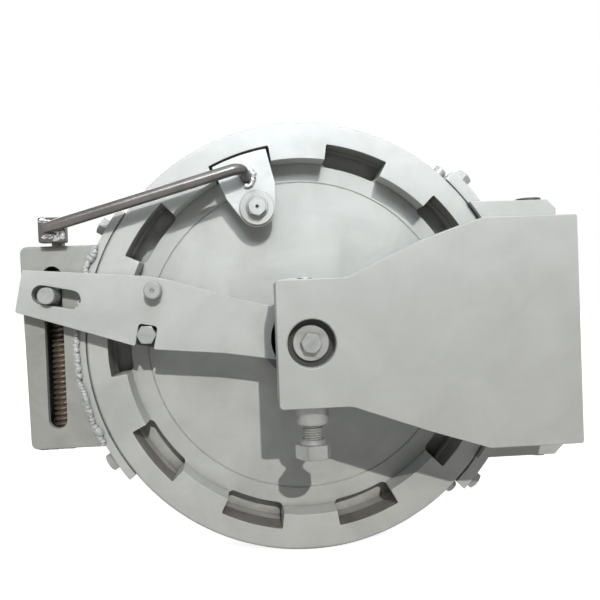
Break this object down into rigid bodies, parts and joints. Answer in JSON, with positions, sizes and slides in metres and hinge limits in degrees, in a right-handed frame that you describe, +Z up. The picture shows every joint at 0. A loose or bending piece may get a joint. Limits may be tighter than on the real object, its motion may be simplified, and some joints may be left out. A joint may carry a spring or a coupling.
{
  "type": "quick opening closure",
  "caption": "Round hinged pressure closure with a toothed hub ring, a lugged door, a screw-driven locking lever, a swing arm and a vent interlock.",
  "frame": {"origin": "centre of the weld end of the hub's neck", "axes": "+Y runs back from the door along the neck's axis, +Z up, +X towards the hinge"},
  "size_m": [0.7089, 0.288, 0.57],
  "materials": {
    "painted_steel": "silver-grey machinery enamel, satin",
    "painted_forging": "silver-grey enamel on a machined forging",
    "bare_steel": "bare steel, dull",
    "zinc_bolts": "painted and plated fasteners",
    "rusty_thread": "oiled thread with light rust",
    "bronze": "bearing bronze",
    "seal_rubber": "black nitrile rubber"
  },
  "bodies": {
    "hub": {"hub_ring": "painted_forging", "hub_teeth": "painted_forging", "door_seal": "seal_rubber", "swing_arm": "painted_steel", "centre_bush": "bronze", "adjusting_lock_nut": "zinc_bolts", "hinge_bracket": "painted_steel", "hinge_bracket_bolts": "zinc_bolts", "locating_studs": "zinc_bolts", "hinge_pin": "bare_steel", "hinge_bushes": "bronze", "hinge_thrust_washers": "bronze", "screw_box": "painted_steel", "screw_box_cover": "painted_steel", "screw_box_foot": "painted_steel", "box_foot_bolts": "zinc_bolts", "screw_bushes": "bronze"},
    "door": {"door_cover": "painted_forging", "door_lugs": "painted_forging", "centre_shaft": "bare_steel", "centre_washer": "zinc_bolts", "centre_bolt": "zinc_bolts", "shaft_spacer": "bare_steel", "lever_plate": "painted_steel", "lever_pad": "painted_steel", "lever_round_bolt": "zinc_bolts", "lever_hex_bolt": "zinc_bolts", "vent_boss": "bare_steel"},
    "nut": {"drive_nut": "bronze", "drive_pin": "bare_steel"},
    "screw": {"lead_screw": "rusty_thread"},
    "interlock": {"interlock_plate": "painted_steel", "interlock_rod": "bare_steel", "interlock_block": "bare_steel"},
    "vent": {"vent_screw": "zinc_bolts", "vent_washer": "zinc_bolts"},
    "adjuster": {"adjusting_bolt": "zinc_bolts"}
  },
  "joints": [
    {"name": "door_turn", "type": "hinge", "parent": "hub", "child": "door", "pos_m": [0, -0.17, 0], "axis": [0, -1, 0], "range_deg": [0, 18]},
    {"name": "nut_travel", "type": "slide", "parent": "hub", "child": "nut", "axis": [0, 0, -1], "range_m": [0, 0.10305]},
    {"name": "screw_spin", "type": "hinge", "parent": "hub", "child": "screw", "pos_m": [-0.323, -0.14, 0], "axis": [0, 0, -1], "range_deg": [0, 5275.15]},
    {"name": "interlock_lift", "type": "slide", "parent": "door", "child": "interlock", "axis": [0, -1, 0], "range_m": [0, 0.1805]},
    {"name": "vent_screw_turn", "type": "hinge", "parent": "interlock", "child": "vent", "pos_m": [-0.05624, -0.17, 0.17309], "axis": [0, -1, 0], "continuous": true},
    {"name": "adjusting_bolt_turn", "type": "hinge", "parent": "hub", "child": "adjuster", "pos_m": [0, -0.253, -0.12], "axis": [0, 0, 1], "continuous": true}
  ],
  "couplings": [
    {"joint": "nut_travel", "follows": "door_turn", "m_per_rad": 0.32644},
    {"joint": "screw_spin", "follows": "door_turn", "ratio": 293.01},
    {"joint": "interlock_lift", "follows": "door_turn", "m_per_rad": 0.57296}
  ]
}
